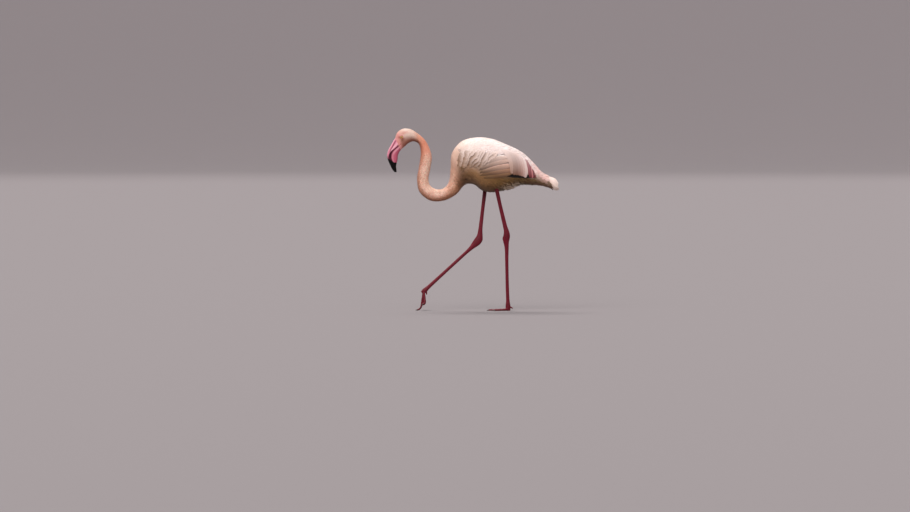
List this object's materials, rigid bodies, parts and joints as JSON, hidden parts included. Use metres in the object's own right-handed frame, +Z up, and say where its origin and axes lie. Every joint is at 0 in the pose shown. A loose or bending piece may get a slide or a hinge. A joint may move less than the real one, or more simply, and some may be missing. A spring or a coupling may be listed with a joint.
{
  "type": "greater flamingo",
  "caption": "Wading bird with a long neck held in a low U, a bent bill, folded wings, a short tail and long thin legs, one of them stepping forward.",
  "frame": {"origin": "on the floor, below the middle of the bounding box", "axes": "+Z up; the bird faces -X; its left side faces -Y"},
  "size_m": [0.7038, 0.1808, 0.7489],
  "materials": {
    "plumage": "matte pale pink-white feathers",
    "wing_plumage": "matte pink-white wing feathers, rose and black at the wing's edge",
    "neck_plumage": "matte warm pink short feathers",
    "leg_skin": "scaly crimson skin",
    "bill_horn": "satin pink horn with a black end",
    "claw_horn": "satin dark horn",
    "eye": "wet, pale yellow with a dark pupil"
  },
  "bodies": {
    "root": {"head": "plumage", "neck_upper": "neck_plumage", "neck_middle": "neck_plumage", "neck_bend": "neck_plumage", "neck_root": "neck_plumage", "trunk": "plumage", "tail": "plumage", "wing_left": "wing_plumage", "wing_right": "wing_plumage", "bill_upper": "bill_horn", "bill_lower": "bill_horn", "eye_left": "eye", "eye_right": "eye", "shank_left": "leg_skin", "shank_right": "leg_skin", "ankle_left": "leg_skin", "ankle_right": "leg_skin", "tarsus_left": "leg_skin", "tarsus_right": "leg_skin", "foot_left": "leg_skin", "foot_right": "leg_skin", "claw_left_inner": "claw_horn", "claw_left_middle": "claw_horn", "claw_left_outer": "claw_horn", "claw_right_inner": "claw_horn", "claw_right_middle": "claw_horn", "claw_right_outer": "claw_horn"}
  },
  "joints": []
}
